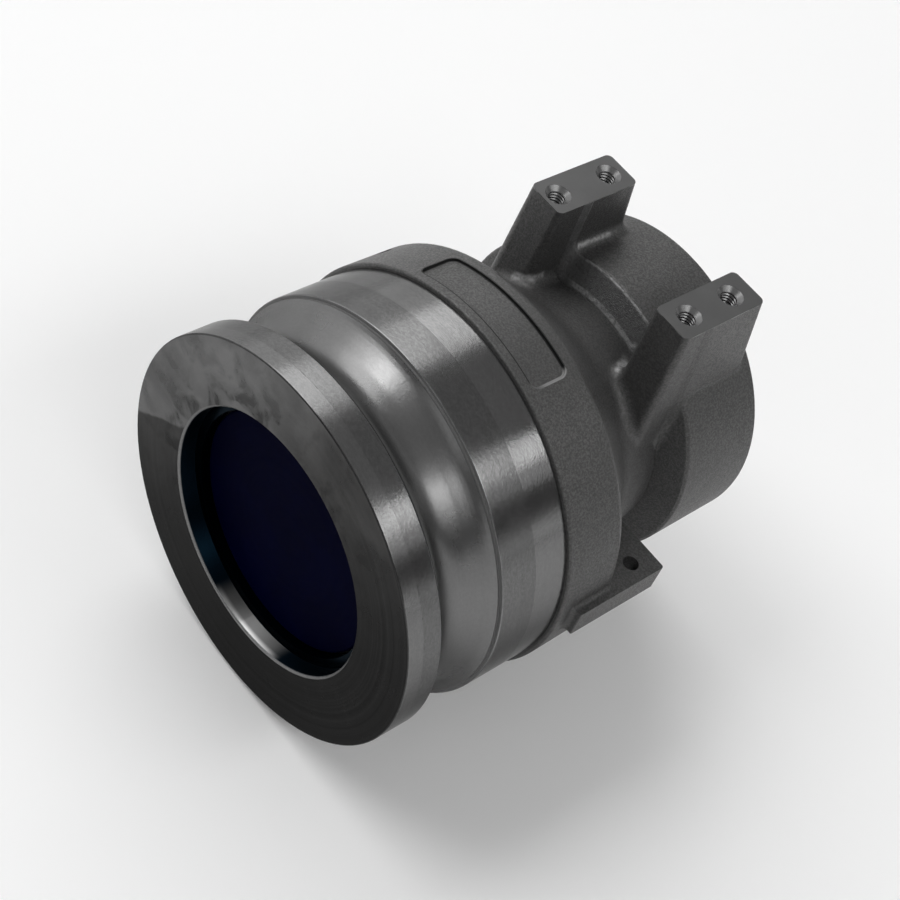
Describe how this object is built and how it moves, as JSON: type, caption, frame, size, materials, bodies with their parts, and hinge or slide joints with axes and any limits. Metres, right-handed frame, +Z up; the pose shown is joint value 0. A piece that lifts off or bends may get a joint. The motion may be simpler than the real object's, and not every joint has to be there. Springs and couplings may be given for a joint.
{
  "type": "vapor recovery adapter",
  "caption": "Vapor recovery adapter with a cam groove nose, spring loaded poppet, cast body, tapped mounting lugs, drilled tab and female pipe thread.",
  "frame": {"origin": "centre of the rear pipe mouth", "axes": "+Y along the axis from the nose to the pipe mouth, +Z up through the mounting lugs, +X towards the drilled tab"},
  "size_m": [0.1246, 0.1436, 0.1261],
  "materials": {
    "machined_body": "turned, dark hard coat",
    "cast_body": "sand cast, dark hard coat",
    "seal_rubber": "matt",
    "poppet_metal": "dark hard coat",
    "stainless": "brushed",
    "spring_steel": "drawn wire",
    "bush_plastic": "satin",
    "black_screw": "black oxide"
  },
  "bodies": {
    "housing": {"adapter_nose": "machined_body", "adapter_body": "cast_body", "joint_oring": "seal_rubber", "nose_lock_screw": "black_screw", "guide_spider": "cast_body", "guide_bush": "bush_plastic", "poppet_spring": "spring_steel"},
    "poppet": {"poppet_head": "poppet_metal", "poppet_seal": "seal_rubber", "seal_clamp_plate": "poppet_metal", "clamp_screws": "stainless", "poppet_stem": "stainless", "stem_lock_nut": "stainless", "spring_cup": "stainless", "stem_clip": "spring_steel"}
  },
  "joints": [
    {"name": "poppet_slide", "type": "slide", "parent": "housing", "child": "poppet", "axis": [0, 1, 0], "range_m": [0, 0.022], "stiffness_N_per_m": 2500, "springref_m": -0.012, "deforming": ["poppet_spring"]}
  ]
}
